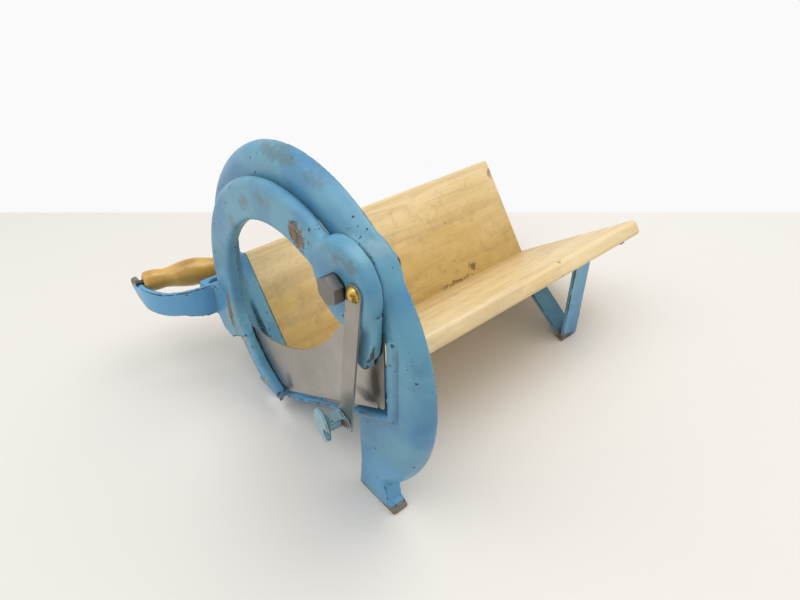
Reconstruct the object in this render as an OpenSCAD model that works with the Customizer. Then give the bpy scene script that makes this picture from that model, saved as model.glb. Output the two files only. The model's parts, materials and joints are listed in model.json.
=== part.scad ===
// Lever bread slicer: a cast iron ring frame with a wooden V trough behind it,
// and a cast arm that swings a broad steel blade down across the trough's mouth.
// X runs right, Y runs back along the trough, Z runs up. The pivot axis is at x = 0,
// and the table is z = 0. The origin lies on the sole of the pillar's foot.

/* [Frame casting] */
// Outer radius of the frame's ring
frame_r = 132.5; // [126:0.5:140]
// Width of the ring's band, measured along its radius
frame_band = 24; // [18:1:24]
// Thickness of the casting from front to back
frame_t = 14; // [12:0.5:16]
// Rounding of the ring's outer front edge
frame_round = 13; // [6:0.5:13]
// Horizontal distance from the pivot to the ring's centre
frame_dx = 73; // [70:1:76]
// Height of the ring's centre above the table
frame_cz = 110.5; // [107:0.5:113]
// Width of the bead round the mouth
bead_w = 6.5; // [5:0.5:8]
// Height of the bead above the front face
bead_h = 3; // [1.5:0.5:3]
// Distance from the pivot to the mouth's upright edge
mouth_x = 30; // [29:0.5:33]
// Slope of the bar under the mouth, in degrees
bar_angle = 31.2; // [29:0.2:33]
// Height of the bar's front edge where it meets the upright edge
bar_z = 101.5; // [98:0.5:103]
// Thickness of the bar under the mouth
bar_w = 3.5; // [3:0.5:6]
// Distance from the pivot to the pillar's inner edge
pillar_x = 5; // [2:1:8]
// Width of the pillar's foot
foot_w = 41; // [36:1:44]
// Height of the foot's toe
foot_h = 6; // [4:0.5:8]
// Width of the left foot's sole
left_foot_w = 36; // [32:1:40]

/* [Pivot] */
// Height of the pivot axis above the table
pivot_z = 190; // [187:1:193]
// Radius of the pivot bolt's shank
bolt_r = 6; // [5:0.5:7]
// Width across the flats of the bolt's head and nut
bolt_af = 16.5; // [14:0.5:17]
// Height of the bolt's head
bolt_head_h = 6.5; // [5:0.5:8]
// Height of the nut
nut_h = 8; // [6:0.5:10]
// Outer radius of the washer under the bolt's head
head_washer_r = 8.7; // [8:0.1:9.4]
// Outer radius of the washer under the nut
washer_r = 12; // [11:0.5:14]
// Thickness of a washer
washer_t = 1.4; // [1:0.1:2]
// Radius of the frame's boss behind the arm
frame_boss_r = 26; // [24:0.5:29]

/* [Arm casting] */
// Inner radius of the arm's ring
arm_in_r = 88; // [84:1:91]
// Outer radius of the arm's ring
arm_out_r = 117; // [114:1:120]
// Thickness of the arm's ring
arm_t = 9; // [7:0.5:10]
// Rounding of the arm ring's outer front edge
arm_round = 6; // [4:0.5:6]
// Horizontal distance from the pivot to the arm ring's centre
arm_dx = 69.5; // [67:0.5:73]
// Height of the arm ring's centre above the table
arm_cz = 107; // [104:1:110]
// Radius of the arm's boss round the pivot
arm_boss_r = 28.5; // [25:0.5:28.5]
// Thickness of the arm's boss
arm_boss_t = 11; // [10:0.5:13]
// Thickness of the thin flange that carries the blade's rivets
flange_t = 4; // [3:0.5:5]
// Outer radius of that flange
flange_r = 115; // [112:1:118]
// Length of the finger below the pivot that presses on the blade
finger_l = 46; // [40:1:50]

/* [Handle] */
// Radius of the hand guard's curve, seen from above
guard_r = 42; // [38:1:45]
// Thickness of the hand guard
guard_t = 5; // [4:0.5:6]
// Distance from the pivot to the handle's axis
grip_x = 240; // [236:1:246]
// Height of the handle's axis above the table
grip_z = 77.5; // [74:0.5:80]
// Turn of the handle's axis away from the trough's, in degrees
grip_yaw = 8; // [4:0.5:9]
// Rise of the handle's axis towards its front end, in degrees
grip_pitch = 5.5; // [3:0.5:6]
// Largest radius of the wooden grip
grip_r = 12.5; // [11:0.5:13.5]
// Radius of the grip's ends
grip_end_r = 8.5; // [7.5:0.5:10]
// Radius of the rod through the grip
rod_r = 2.5; // [2:0.25:3]

/* [Blade] */
// Thickness of the blade
blade_t = 1.2; // [1:0.1:1.4]
// Radius of the blade's hollow upper edge
blade_arc_r = 162; // [156:1:168]
// Gap between the blade's cutting edge and the bar, when shut
blade_gap = 4; // [2.5:0.5:6]
// Gap between the blade's right edge and the mouth's upright edge
blade_side = 3; // [2:0.5:8]
// Radius of the blade's lower right corner
blade_corner_r = 5; // [3:1:8]
// Width of the ground bevel above the cutting edge
bevel_w = 5; // [3:0.5:8]
// Thickness left at the cutting edge
edge_t = 0.3; // [0.2:0.05:0.5]
// Radius of a rivet's shank
rivet_r = 2.5; // [2:0.25:3]

/* [Slice stop] */
// Length of the stop's strip from its screw to its rivet
stop_l = 116; // [106:1:120]
// Width of the strip
stop_w = 13; // [10:0.5:13]
// Thickness of the strip
stop_t = 1.5; // [1:0.1:2]
// Tilt of the hanging strip from the vertical, in degrees
stop_tilt = 8.5; // [6:0.5:9]
// Distance of the strip's screw to the right of the pivot
stop_dx = 17; // [16.5:0.5:18]
// Height of the strip's screw above the pivot
stop_dz = 4; // [2:0.5:6]
// Radius of the shoulder that the strip swings on
stop_screw_r = 3; // [2.5:0.25:3.5]
// Radius of the thumb knob's disc
knob_r = 12; // [9:0.5:13]
// Length of the thumb knob
knob_l = 16; // [12:1:20]
// Lean of the thumb knob towards the handle, in degrees
knob_lean = 10; // [4:1:16]

/* [Trough] */
// Height of the valley between the boards above the table
valley_z = 17; // [17:0.5:20]
// Distance from the pivot to the valley
valley_x = 132; // [129:1:135]
// Slope of the wide board, in degrees
board_angle = 36.5; // [35:0.5:38]
// Width of the wide board
right_w = 155; // [145:1:158]
// Width of the narrow board
left_w = 110; // [100:1:114]
// Thickness of both boards
board_t = 14; // [12:0.5:14]
// Length of both boards
board_l = 303; // [260:1:340]
// Rounding of the boards' free long edges
board_round = 4; // [2:0.5:6]
// Depth of the iron seat in front of the boards
seat_d = 12; // [8:1:16]
// Thickness of the ledges that carry the boards
ledge_t = 5; // [4:0.5:6]
// Length of the ledges under the boards
ledge_l = 30; // [24:1:40]
// Radius of the wood screws' shanks
screw_r = 2; // [1.5:0.25:2.5]

/* [Back foot] */
// Distance from the boards' front end to the strap
strap_y = 226; // [200:1:240]
// Width of the strap
strap_w = 22; // [18:1:30]
// Thickness of the strap
strap_t = 3.5; // [3:0.25:4.5]
// Distance from the pivot to the strap's heel
heel_x = 12; // [11:1:18]
// Slope of the strap's long leg, in degrees
strap_angle = 37; // [34:1:42]
// Length of the strap's two end tabs
tab_l = 18; // [16:1:24]

/* [Hidden] */
$fn = 96;

// Running clearance of a shaft in its bore, and of faces that slide
run_gap = 0.05;
// Clearance between parts that pass each other
pass_gap = 0.6;
// Clearance between stacked flat pieces
seat_gap = 0.1;
// Small overlap that joins the solids of one piece
join = 0.5;

front_y = -frame_t / 2;
back_y = frame_t / 2;
frame_c = [-frame_dx, frame_cz];
arm_c = [-arm_dx, arm_cz];
pivot_c = [0, pivot_z];
blade_back_y = front_y - pass_gap;
arm_back_y = blade_back_y - blade_t;
ring_front_y = arm_back_y - arm_t;
boss_front_y = arm_back_y - arm_boss_t;
flange_front_y = arm_back_y - flange_t;
ridge_front_y = flange_front_y - 3.5;
frame_in_r = frame_r - frame_band;
mouth_edge = [mouth_x, bar_z];
bar_bead_l = 142;
bar_l = 190;
plate_lap = 5;
foot_lean = 3;
left_foot_x = -frame_dx - sqrt(pow(frame_r, 2) - pow(frame_cz - foot_h, 2)) - 2;
frame_boss_y = front_y - 0.3;
spacer_r = 15;
guard_mid_y = (ring_front_y + arm_back_y) / 2;
guard_reach = 7;
guard_cx = -grip_x - 2;
back_x = -211.5;
back_r = 16;
back_reach = 46;
boss_back_y = back_y + 2;
valley = [-valley_x, valley_z];
board_y = back_y - 1 + seat_d;
strap_y0 = board_y + strap_y;
heel_r = 5;
foot_edge = mouth_x + 3;

// Points along each board's inner face, and a distance d below it
function right_pt(s, d) = valley + s * [cos(board_angle), sin(board_angle)]
                                 + d * [sin(board_angle), -cos(board_angle)];
function left_pt(s, d) = valley + s * [-sin(board_angle), cos(board_angle)]
                                + d * [-cos(board_angle), -sin(board_angle)];
// Points along the mouth's lower bar, and a distance d below its upper edge
function bar_pt(s, d) = mouth_edge - s * [cos(bar_angle), sin(bar_angle)]
                                   + d * [sin(bar_angle), -cos(bar_angle)];
// A point at angle a and radius r round the arm ring's centre
function arm_pt(r, a) = arm_c + r * [cos(a), sin(a)];

// A shape drawn in X and Z, standing between two values of Y
module slab(y0, y1) {
    translate([0, y1, 0]) rotate([90, 0, 0]) linear_extrude(y1 - y0) children();
}

// A profile of radius and -Y, revolved round an axis along Y from angle a0 to a1
module sweep(c, a0, a1) {
    translate([c[0], 0, c[1]]) rotate([90, 0, 0]) rotate([0, 0, a0])
        rotate_extrude(angle = a1 - a0) children();
}

// A round pin along Y
module pin(c, r, y0, y1) {
    translate([c[0], y1, c[1]]) rotate([90, 0, 0]) cylinder(r = r, h = y1 - y0);
}

// A hexagon of a given width across its flats, with corners up and down
module hexagon(c, af, y0, y1) {
    translate([c[0], y1, c[1]]) rotate([90, 0, 0]) rotate([0, 0, 30])
        cylinder(r = af / 2 / cos(30), h = y1 - y0, $fn = 6);
}

// Takes a rounded corner of radius r off a section; q turns it to the right corner
module corner(p, q, r) {
    translate(p) rotate(q) difference() {
        translate([-r, -r]) square(r + 1);
        translate([-r, -r]) circle(r);
    }
}

// A band's section, r0 to r1 across and y0 to y1 deep, with rounded edges
module band_section(r0, r1, y0, y1, inner, outer, back) {
    difference() {
        translate([r0, -y1]) square([r1 - r0, y1 - y0]);
        if (outer > 0) corner([r1, -y0], 0, outer);
        if (inner > 0) corner([r0, -y0], 90, inner);
        if (back > 0) corner([r1, -y1], -90, back);
    }
}

// A flat bar from p to q, as a shape in X and Z; t is its thickness, to the right of p-q
// where it is positive and to the left where it is negative
module flat_bar(p, q, t) {
    a = atan2(q[1] - p[1], q[0] - p[0]);
    translate(p) rotate(a) translate([0, -max(t, 0)]) square([norm(q - p), abs(t)]);
}

// ---------------------------------------------------------------- frame

module mouth() {
    intersection() {
        union() {
            translate(frame_c) circle(frame_in_r + 2);
            translate([0, bar_z - 20]) square([mouth_x, pivot_z - bar_z]);
        }
        polygon([bar_pt(-60, 0), bar_pt(240, 0), [-300, 260], [mouth_x + 60, 260]]);
        translate([-300, 0]) square([300 + mouth_x, 300]);
    }
}

// The opening between the two feet, under the bar. The pillar's inner edge leans out
// a little towards its foot.
module leg_gap() {
    polygon([[-pillar_x - foot_lean, -1], [-pillar_x, foot_h + 20],
             [-pillar_x, bar_z - (mouth_x + pillar_x) * tan(bar_angle) - bar_w / cos(bar_angle)],
             bar_pt(bar_l - 5, bar_w), [left_foot_x + left_foot_w, -1]]);
}

module frame_plate() {
    difference() {
        intersection() {
            translate(frame_c) circle(frame_in_r + plate_lap);
            translate([-pillar_x - plate_lap, 0]) square([200, pivot_z]);
        }
        mouth();
    }
    polygon([[foot_edge, -1], [foot_edge, foot_h / 2], [foot_edge - 7, foot_h + 2],
             [foot_edge - 9, foot_h + 14], [foot_edge - 30, foot_h + 40],
             [-pillar_x - plate_lap, foot_h + 24], [-pillar_x - plate_lap, -1]]);
    polygon([[left_foot_x, -1], [left_foot_x, foot_h / 2], [left_foot_x + 4, foot_h + 2],
             [left_foot_x + left_foot_w - 6, foot_h - 1], [left_foot_x + left_foot_w + 4, -1]]);
}

// The bead along the mouth's upright edge and along its lower bar
module mouth_bead() {
    polygon([[mouth_x, pivot_z - frame_boss_r], [mouth_x, bar_z], bar_pt(bar_bead_l, 0),
             bar_pt(bar_bead_l, bar_w + 1), bar_pt(0, bar_w + 1), [mouth_x + bead_w, bar_z - 2],
             [mouth_x + bead_w, pivot_z - frame_boss_r]]);
}

// The front wall: the ring, the pillar, the bar and the two feet, standing on z = 0
module front_wall() {
    difference() {
        union() {
            sweep(frame_c, -62, 240)
                band_section(frame_in_r, frame_r, front_y, back_y, 0, frame_round, 0);
            slab(front_y, back_y - join) {
                frame_plate();
                flat_bar(bar_pt(0, bar_w + 3), bar_pt(bar_l, bar_w + 3), -bar_w - 3);
            }
            slab(front_y - bead_h, front_y + 1) mouth_bead();
        }
        slab(front_y - bead_h - 1, back_y + 1) leg_gap();
        translate([-300, -50, -50]) cube([600, 100, 50]);
    }
}

// The iron V that the boards butt against, and the ledges that carry them
module board_seat() {
    slab(back_y - 1, board_y) difference() {
        union() {
            polygon([right_pt(0, 0), right_pt(right_w, 0), right_pt(right_w, board_t),
                     right_pt(0, board_t), left_pt(0, board_t), left_pt(left_w, board_t),
                     left_pt(left_w, 0)]);
            flat_bar(right_pt(-4, board_t), right_pt(right_w + 36, board_t), ledge_t);
        }
        translate([-300, -50]) square([600, 50 + 1.5]);
    }
    slab(front_y + 2, board_y)
        flat_bar(right_pt(12, board_t), right_pt(right_w + 36, board_t), ledge_t);
    slab(back_y - 1, board_y + ledge_l) {
        flat_bar(left_pt(84, board_t), left_pt(14, board_t), ledge_t);
        flat_bar(right_pt(14, board_t), right_pt(right_w - 16, board_t), ledge_t);
    }
}

function ledge_screw(side, i) =
    side == "left" ? left_pt(26 + 46 * i, board_t + ledge_t)
                   : right_pt(40 + 64 * i, board_t + ledge_t);

// A wood screw driven along a board's normal; flip turns it for the left board
module wood_screw(p, y, tilt, length, head_r, hole = 0) {
    translate([p[0], y, p[1]]) rotate([0, tilt, 0]) {
        translate([0, 0, -hole]) cylinder(r = screw_r + hole, h = length + hole);
        if (hole == 0) {
            rotate_extrude() intersection() {
                translate([0, head_r * 0.35]) circle(head_r);
                translate([0, -head_r]) square([head_r, head_r]);
            }
        }
    }
}

module frame_casting() {
    color([0.42, 0.62, 0.72]) difference() {
        union() {
            front_wall();
            board_seat();
            pin(pivot_c, frame_boss_r, frame_boss_y, boss_back_y);
        }
        pin(pivot_c, bolt_r + run_gap, -30, 30);
        for (i = [0, 1]) {
            wood_screw(ledge_screw("left", i), board_y + ledge_l / 2, 90 - board_angle, 20, 4, 0.2);
            wood_screw(ledge_screw("right", i), board_y + ledge_l / 2, -board_angle, 20, 4, 0.2);
        }
    }
}

// ---------------------------------------------------------------- pivot

module pivot_bolt() {
    color([0.25, 0.24, 0.24]) {
        head_y = boss_front_y - seat_gap - washer_t - seat_gap;
        pin(pivot_c, bolt_r, head_y - 1, boss_back_y + washer_t + nut_h + 4);
        intersection() {
            hexagon(pivot_c, bolt_af, head_y - bolt_head_h, head_y);
            sweep(pivot_c, 0, 360) polygon([[0, -head_y], [bolt_af, -head_y],
                [bolt_af * 0.6, -head_y + bolt_head_h - 1],
                [bolt_af * 0.54, -head_y + bolt_head_h], [0, -head_y + bolt_head_h]]);
        }
    }
}

module washer(y0, r) {
    difference() {
        pin(pivot_c, r, y0, y0 + washer_t);
        pin(pivot_c, bolt_r + run_gap, y0 - 1, y0 + washer_t + 1);
    }
}

module head_washer() {
    color([0.35, 0.34, 0.33]) washer(boss_front_y - seat_gap - washer_t, head_washer_r);
}

module spacer_washer() {
    color([0.35, 0.34, 0.33]) difference() {
        pin(pivot_c, spacer_r, arm_back_y + seat_gap, frame_boss_y - seat_gap);
        pin(pivot_c, bolt_r + run_gap, arm_back_y - 1, frame_boss_y + 1);
    }
}

module back_washer() {
    color([0.35, 0.34, 0.33]) washer(boss_back_y, washer_r);
}

module pivot_nut() {
    color([0.25, 0.24, 0.24]) difference() {
        hexagon(pivot_c, bolt_af, boss_back_y + washer_t, boss_back_y + washer_t + nut_h);
        pin(pivot_c, bolt_r + run_gap, boss_back_y, boss_back_y + washer_t + nut_h + 1);
    }
}

// ---------------------------------------------------------------- trough

module level_cut() {
    difference() {
        children();
        translate([-300, -10, -50]) cube([600, 500, 50 + 1.5]);
    }
}

// A board's cross-section: w wide, mitred at the valley, rounded at its free edge
module board_section(w) {
    difference() {
        polygon([[0, 0], [w, 0], [w, -board_t], [-board_t, -board_t]]);
        corner([w, 0], 0, board_round);
        corner([w, -board_t], -90, board_round);
    }
}

module right_board() {
    color([0.87, 0.75, 0.54]) level_cut() difference() {
        slab(board_y, board_y + board_l)
            translate(valley) rotate(board_angle) board_section(right_w);
        for (i = [0, 1])
            wood_screw(ledge_screw("right", i), board_y + ledge_l / 2, -board_angle, 15, 4, 0.05);
        for (p = strap_holes)
            wood_screw(p, strap_y0 + strap_w / 2, -board_angle, 12, 4, 0.05);
        wood_screw(end_hole, end_hole_y, -board_angle, 12, 4, 0.05);
        nails(nail_r + seat_gap / 4);
    }
}

module left_board() {
    color([0.85, 0.72, 0.5]) level_cut() difference() {
        slab(board_y, board_y + board_l)
            translate(valley) rotate(90 + board_angle) mirror([0, 1]) board_section(left_w);
        for (i = [0, 1])
            wood_screw(ledge_screw("left", i), board_y + ledge_l / 2, 90 - board_angle, 15, 4, 0.05);
        nails(nail_r + seat_gap / 4);
    }
}

nail_r = 0.9;
nail_pitch = 66;
module nails(r) {
    p = left_pt(-6, board_t);
    for (i = [0 : floor((board_l - 40) / nail_pitch)])
        translate([p[0], board_y + 20 + i * nail_pitch, p[1]])
            rotate([0, 90 - board_angle, 0]) cylinder(r = r, h = 30);
}

module joint_nails() {
    color([0.5, 0.48, 0.45]) nails(nail_r);
}

module left_screws() {
    color([0.45, 0.44, 0.42]) for (i = [0, 1])
        wood_screw(ledge_screw("left", i), board_y + ledge_l / 2, 90 - board_angle, 14, 4);
}

module right_screws() {
    color([0.45, 0.44, 0.42]) for (i = [0, 1])
        wood_screw(ledge_screw("right", i), board_y + ledge_l / 2, -board_angle, 14, 4);
}

// ---------------------------------------------------------------- back foot

// Where the line from p along u meets the line from q along v
function cross2(u, v) = u[0] * v[1] - u[1] * v[0];
function meet(p, u, q, v) = p + u * cross2(q - p, v) / cross2(u, v);

// The strap's corners: each leg's faces meet the board's underside and the tabs' lower face
board_dir = [cos(board_angle), sin(board_angle)];
board_down = [sin(board_angle), -cos(board_angle)];
leg_dir = [-cos(strap_angle), sin(strap_angle)];
heel = [-heel_x - strap_t, 0];
heel_up = heel + strap_t * [sin(strap_angle), cos(strap_angle)];
long_top = meet(heel_up, leg_dir, right_pt(0, board_t), board_dir);
long_low = meet(heel, leg_dir, right_pt(0, board_t + strap_t), board_dir);
crotch = meet(heel_up, leg_dir, heel, [0, 1]);
short_low = meet(heel, [0, 1], right_pt(0, board_t + strap_t), board_dir);
short_top = meet([-heel_x, 0], [0, 1], right_pt(0, board_t), board_dir);
long_tab = long_top - tab_l * board_dir;
short_tab = short_top - tab_l * board_dir;
strap_holes = [for (p = [long_tab, short_tab])
    p + tab_l * 0.3 * board_dir + strap_t * board_down];

module strap_foot() {
    color([0.42, 0.62, 0.72]) difference() {
        slab(strap_y0, strap_y0 + strap_w)
            polygon([long_tab, long_top, crotch, short_low, short_tab + strap_t * board_down,
                     short_tab, short_top, [-heel_x, 0], heel, long_low,
                     long_tab + strap_t * board_down]);
        for (p = strap_holes)
            wood_screw(p, strap_y0 + strap_w / 2, -board_angle, 10, 4, 0.05);
    }
}

module strap_screws() {
    color([0.45, 0.44, 0.42]) for (p = strap_holes)
        wood_screw(p, strap_y0 + strap_w / 2, -board_angle, 10, 4);
}

end_hole = right_pt(right_w - 12, board_t);
end_hole_y = board_y + board_l - 16;
module end_screw() {
    color([0.3, 0.28, 0.26]) wood_screw(end_hole, end_hole_y, -board_angle, 11, 4.5);
}

// ---------------------------------------------------------------- arm

finger_tip = [13, pivot_z - finger_l - 3.5];
finger_tip_r = 6.5;
finger_hole = finger_tip + [2, 9];
stop_c = [stop_dx, pivot_z + stop_dz];
limb_end = 247;
limb_step = 211;
rivet_pts = [arm_pt(102, limb_step + 2.8), arm_pt(102, 236)];
ridge_w = 9;

// The stirrup seen from above: its front half bows out to the tip of the guard,
// and its back half keeps clear of the frame's ring
module guard_plan() {
    front = guard_mid_y - guard_reach;
    tail = 21;
    translate([guard_cx, front]) intersection() {
        difference() {
            circle(guard_r + guard_t / 2);
            circle(guard_r - guard_t / 2);
        }
        translate([0, -100]) square(100);
    }
    translate([guard_cx - tail, front - guard_r - guard_t / 2]) square([tail + join, guard_t]);
    translate([guard_cx + guard_r - guard_t / 2, front - join])
        square([guard_t, guard_mid_y - front + guard_t]);
}

module back_plan() {
    back = guard_mid_y + back_reach - back_r;
    translate([back_x - back_r, back]) intersection() {
        difference() {
            circle(back_r);
            circle(back_r - guard_t);
        }
        square(100);
    }
    translate([-grip_x - grip_r, back + back_r - guard_t])
        square([back_x - back_r + grip_x + grip_r + join, guard_t]);
    translate([back_x - guard_t, guard_mid_y - 8]) square([guard_t, back - guard_mid_y + 8 + join]);
    translate([back_x - guard_t, guard_mid_y - 8])
        square([guard_cx + guard_r - back_x + guard_t, guard_t + 2]);
}

// The stirrup seen from the front: deep at its root, and shallow at its tips
module guard_face() {
    polygon([[-172, 88], [-200, 86], [-212, 84], [guard_cx, 82.5], [-grip_x - 10, 82.5],
             [-grip_x - 18, 83], [-grip_x - 23, 79], [-grip_x - 21, 72], [-grip_x - 9, 65],
             [-232, 61.5], [-214, 61], [-205, 62], [-199, 58], [-192, 47], [-172, 34]]);
}

module back_face() {
    polygon([[-190, 82], [-222, 82], [-grip_x - 12, 81], [-grip_x - 18, 76],
             [-grip_x - 12, 69], [-222, 65], [-190, 64]]);
}

module limb() {
    sweep(arm_c, 38, limb_step)
        band_section(arm_in_r, arm_out_r, ring_front_y, arm_back_y, 3, arm_round, 2.5);
    difference() {
        sweep(arm_c, limb_step - 2, limb_end) difference() {
            translate([arm_in_r + 0.4, -arm_back_y])
                square([flange_r - arm_in_r - 0.4, arm_back_y - ridge_front_y]);
            translate([arm_in_r + ridge_w, -flange_front_y])
                square([flange_r, flange_front_y - ridge_front_y + 1]);
            corner([arm_in_r + 0.4, -ridge_front_y], 90, 2);
            corner([arm_in_r + ridge_w, -ridge_front_y], 0, 2.5);
        }
        slab(flange_front_y - 1, arm_back_y + 1)
            polygon([[-150, 18], [-131, 13], [-112, 12.5], [-100, -30], [-150, -30]]);
    }
}

// The finger as seen from the front, from its root in the boss to its round tip
module finger_face() {
    translate(finger_tip) circle(finger_tip_r);
    polygon([finger_tip + finger_tip_r * [-0.9, 0.2], finger_tip + [-2, 19],
             [12, pivot_z - 12], [28, pivot_z - 12], [27, pivot_z - 28],
             [24.5, pivot_z - 41], finger_tip + finger_tip_r * [0.9, 0.1]]);
}

module finger() {
    slab(boss_front_y + 4, arm_back_y) finger_face();
}

module arm_casting() {
    color([0.42, 0.62, 0.72]) difference() {
        union() {
            limb();
            finger();
            sweep(pivot_c, 0, 360)
                band_section(bolt_r, arm_boss_r, boss_front_y, arm_back_y, 0.5, 4, 0);
            intersection() {
                linear_extrude(200) guard_plan();
                slab(-150, 150) guard_face();
            }
            intersection() {
                linear_extrude(200) back_plan();
                slab(-150, 150) back_face();
            }
            slab(ring_front_y + 1, arm_back_y)
                polygon([[-170, 88], [-200, 86], [-202, 62], [-190, 44], [-175, 42], [-165, 50]]);
        }
        pin(pivot_c, bolt_r + run_gap, -60, 30);
        pin(stop_c, stop_screw_r - 0.5, boss_front_y - 1, arm_back_y + 1);
        for (p = rivet_pts) pin(p, rivet_r, -60, 30);
        pin(finger_hole, rivet_r, flange_front_y, 30);
        grip_axis() cylinder(r = rod_r + run_gap, h = 160, center = true);
    }
}

module blade() {
    low = blade_gap;
    right = mouth_x - blade_side;
    corner = [right - blade_corner_r, bar_pt(blade_side + blade_corner_r, 0)[1]
              + (low + blade_corner_r) / cos(bar_angle)];
    color([0.62, 0.6, 0.58]) difference() {
        slab(arm_back_y, blade_back_y) difference() {
            union() {
                polygon([[-170, 84], [-184, 41], [-171, 35], [-146, 24], [-120, 17],
                         bar_pt(161, -low), bar_pt(blade_side + 8, -low),
                         corner, [right, corner[1]], [right, pivot_z - 26], [-12, pivot_z - 18]]);
                translate(corner) circle(blade_corner_r);
            }
            translate(arm_pt(0, 0) + [-87.5, 121.5]) circle(blade_arc_r, $fn = 180);
        }
        for (p = rivet_pts) pin(p, rivet_r, -60, 30);
        pin(finger_hole, rivet_r, -60, 30);
        bevel_cut();
    }
}

// Takes the ground bevel off the front of the blade, along its cutting edge
module bevel_cut() {
    start = bar_pt(bar_l, -blade_gap);
    depth = blade_t - edge_t;
    translate([start[0], arm_back_y, start[1]]) rotate([0, -bar_angle, 0]) rotate([90, 0, 90])
        linear_extrude(bar_l - blade_side - blade_corner_r)
            polygon([[-1, -1], [depth, -1], [depth, 0], [0, bevel_w], [-1, bevel_w]]);
}

// A round-headed rivet with its head in front and its closed end behind
module rivet(p, head_y, end_y, head_r) {
    pin(p, rivet_r, head_y - 0.5, end_y);
    sweep(p, 0, 360) intersection() {
        translate([0, -head_y - head_r * 0.6]) circle(head_r * 1.15);
        translate([0, -head_y]) square([head_r, head_r]);
    }
}

module blade_rivets() {
    color([0.75, 0.62, 0.3]) for (p = rivet_pts) rivet(p, flange_front_y, blade_back_y, 4.2);
}

module finger_rivet() {
    color([0.5, 0.42, 0.35]) pin(finger_hole, rivet_r, flange_front_y, blade_back_y);
}

// ---------------------------------------------------------------- grip

grip_front = guard_reach + guard_r - guard_t / 2 - 0.5;
grip_back = back_reach - guard_t - 0.5;
grip_len = grip_front + grip_back;

// Sets the handle's axis along Z, with its origin in the arm's plane and its front end up
module grip_axis() {
    translate([-grip_x, guard_mid_y, grip_z]) rotate([0, 0, -grip_yaw])
        rotate([90 - grip_pitch, 0, 0]) children();
}

// Half outline of the turned grip: a barrel between two necks, and a bulb at each end
grip_neck = 0.2;
function grip_outline(u) = let (v = min(u, 1 - u))
    v < grip_neck ? grip_end_r + 0.9 * sin(180 * v / grip_neck)
                  : grip_end_r + (grip_r - grip_end_r) * pow(sin(180 * (u - grip_neck)
                                                             / (1 - 2 * grip_neck)), 1.6);

module grip() {
    steps = 30;
    color([0.7, 0.5, 0.22]) grip_axis() translate([0, 0, -grip_back]) difference() {
        rotate_extrude() polygon(concat([[0, 0], [grip_end_r - 2, 0]],
            [for (i = [1 : steps - 1]) [grip_outline(i / steps), grip_len * i / steps]],
            [[grip_end_r - 2, grip_len], [0, grip_len]]));
        translate([0, 0, -1]) cylinder(r = rod_r + run_gap, h = grip_len + 2);
    }
}

module grip_rod() {
    color([0.35, 0.33, 0.31]) grip_axis() translate([0, 0, -grip_back - guard_t - 1.5])
        cylinder(r = rod_r, h = grip_len + 2 * guard_t + 3);
}

// ---------------------------------------------------------------- slice stop

module stop_frame() {
    translate([stop_c[0], 0, stop_c[1]]) rotate([0, stop_tilt, 0])
        translate([-stop_c[0], 0, -stop_c[1]]) children();
}

strip_back_y = boss_front_y - 0.2;
strip_front_y = strip_back_y - stop_t;
strip_end = stop_c - [0, stop_l];
knob_c = strip_end + [-3.4, 3.4];
stop_rivet_c = strip_end + [2.6, 4.5];
pad_t = 2;
stop_rivet_r = 1.8;

module stop_screw() {
    color([0.8, 0.66, 0.3]) {
        pin(stop_c, stop_screw_r - 0.5, strip_back_y - 0.5, arm_back_y);
        pin(stop_c, stop_screw_r, strip_front_y - 0.3, boss_front_y);
        sweep(stop_c, 0, 360) intersection() {
            translate([0, -strip_front_y + 0.2 - 3]) circle(6);
            translate([0, -strip_front_y + 0.2]) square([5.2, 6]);
        }
    }
}

module stop_strip() {
    color([0.66, 0.63, 0.6]) stop_frame() difference() {
        slab(strip_front_y, strip_back_y) {
            translate(stop_c) circle(stop_w / 2);
            translate(strip_end - [stop_w / 2, 3]) square([stop_w, stop_l + 3]);
        }
        pin(stop_c, stop_screw_r + run_gap, -60, 0);
        pin(stop_rivet_c, stop_rivet_r, -60, 0);
    }
}

// The thumb knob: a flared neck and disc, leaning from the strip by knob_lean
module stop_knob() {
    color([0.42, 0.62, 0.72]) stop_frame() difference() {
        union() {
            slab(strip_front_y - pad_t, strip_front_y) pad_face();
            difference() {
                translate([knob_c[0], strip_front_y, knob_c[1]]) rotate([0, 0, -knob_lean])
                    rotate([90, 0, 0]) translate([0, 0, -4]) rotate_extrude()
                        polygon([[0, 0], [6.5, 0], [5.6, 7], [6, knob_l - 1],
                                 [knob_r - 1, knob_l + 1], [knob_r, knob_l + 2],
                                 [knob_r - 0.5, knob_l + 3.5], [knob_r - 2, knob_l + 4],
                                 [0, knob_l + 4]]);
                slab(strip_front_y, 0) translate(knob_c) square(60, center = true);
            }
        }
        pin(stop_rivet_c, stop_rivet_r, strip_front_y - 30, 0);
        pin(stop_rivet_c, 3.4, strip_front_y - 30, strip_front_y - pad_t);
    }
}

module pad_face() {
    translate(knob_c) circle(6.5);
    translate(stop_rivet_c) circle(4.2);
}

module stop_rivet() {
    color([0.5, 0.36, 0.22]) stop_frame() {
        pin(stop_rivet_c, stop_rivet_r, strip_front_y - pad_t - 0.5, strip_back_y);
        sweep(stop_rivet_c, 0, 360) intersection() {
            translate([0, -strip_front_y + pad_t - 2]) circle(3.6);
            translate([0, -strip_front_y + pad_t]) square([3, 4]);
        }
    }
}

frame_casting();
pivot_bolt();
head_washer();
spacer_washer();
back_washer();
pivot_nut();
left_board();
right_board();
joint_nails();
left_screws();
right_screws();
strap_foot();
strap_screws();
end_screw();
arm_casting();
blade();
blade_rivets();
finger_rivet();
grip();
grip_rod();
stop_screw();
stop_strip();
stop_knob();
stop_rivet();
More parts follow.
